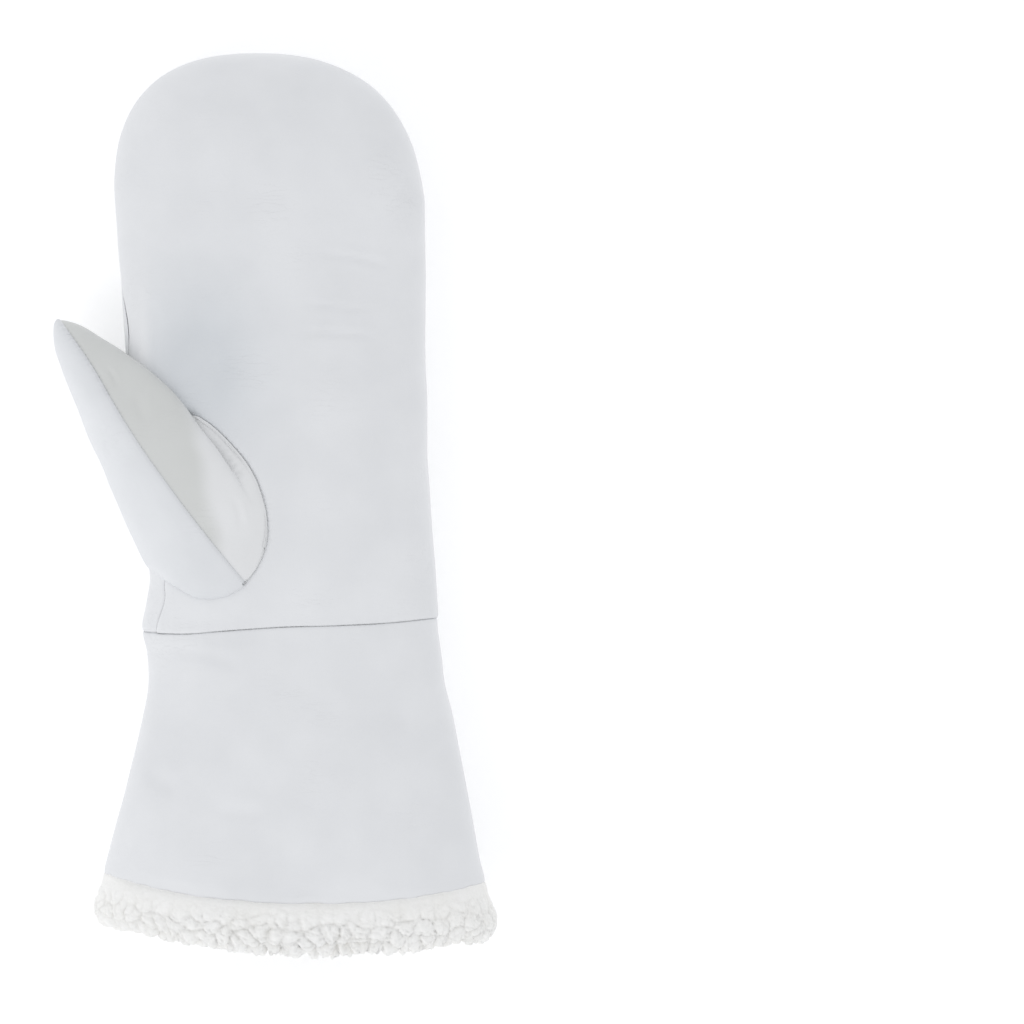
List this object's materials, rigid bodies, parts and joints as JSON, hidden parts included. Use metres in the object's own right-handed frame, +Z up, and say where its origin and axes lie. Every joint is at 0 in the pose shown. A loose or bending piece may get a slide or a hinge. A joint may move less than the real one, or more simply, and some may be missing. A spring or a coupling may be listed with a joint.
{
  "type": "fur mitten",
  "caption": "Left-hand gauntlet mitten of smooth white leather, lined with sheepskin pile that is turned out as a band round the mouth of its long cuff.",
  "frame": {"origin": "under the middle of the mitten's overall box, on the surface it lies on", "axes": "+Y from the mouth of the cuff towards the fingertips, +Z up out of the palm, the thumb at -X; the mitten lies on its back"},
  "size_m": [0.1862, 0.3794, 0.0546],
  "materials": {
    "leather": "smooth soft white nappa with a faint grain and a low sheen",
    "pile": "curly off-white sheepskin pile in small tufts, no sheen"
  },
  "bodies": {
    "root": {"palm_panel": "leather", "back_panel": "leather", "thumb_outer_panel": "leather", "thumb_inner_panel": "leather", "cuff": "leather", "palm_lining": "pile", "back_lining": "pile", "cuff_lining": "pile", "thumb_lining": "pile", "pile_band": "pile"}
  },
  "joints": []
}
